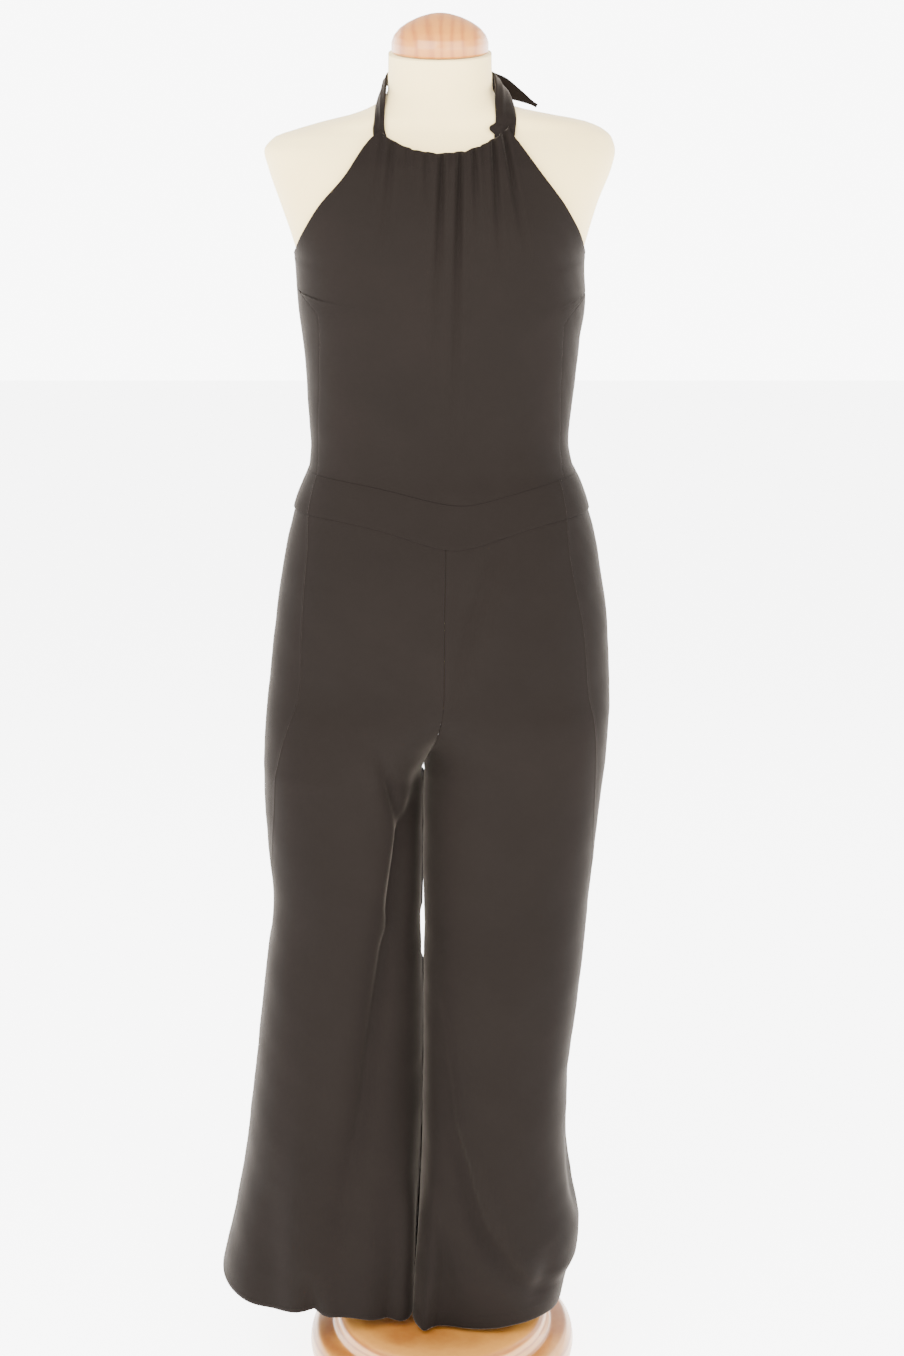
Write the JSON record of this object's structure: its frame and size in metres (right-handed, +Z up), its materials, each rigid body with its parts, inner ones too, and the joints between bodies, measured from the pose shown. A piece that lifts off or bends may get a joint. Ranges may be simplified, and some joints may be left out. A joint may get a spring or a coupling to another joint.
{
  "type": "halter jumpsuit on a dress form",
  "caption": "Sleeveless halter jumpsuit with a gathered neckline, dipped waistband and wide full-length legs, worn by a limbless dress form on a turned wooden base.",
  "frame": {"origin": "on the floor, at the middle of the turned base's underside", "axes": "+Z up, the wearer faces -Y, +X is the wearer's left"},
  "size_m": [0.4644, 0.326, 1.6037],
  "materials": {
    "crepe": "matte black-brown crepe with a faint sheen at grazing angles",
    "jersey": "fine cream cotton jersey stretched over the form",
    "lacquered_wood": "turned pine with a clear gloss lacquer",
    "steel": "polished steel tube"
  },
  "bodies": {
    "root": {"bodice_front": "crepe", "bodice_back_right": "crepe", "bodice_back_left": "crepe", "waistband_front": "crepe", "waistband_back_right": "crepe", "waistband_back_left": "crepe", "leg_right_front": "crepe", "leg_right_back": "crepe", "leg_left_front": "crepe", "leg_left_back": "crepe", "strap_right": "crepe", "strap_left": "crepe", "tie_knot": "crepe", "tie_end_right": "crepe", "tie_end_left": "crepe", "form_torso": "jersey", "neck_cap": "lacquered_wood", "base": "lacquered_wood", "pole": "steel"}
  },
  "joints": []
}
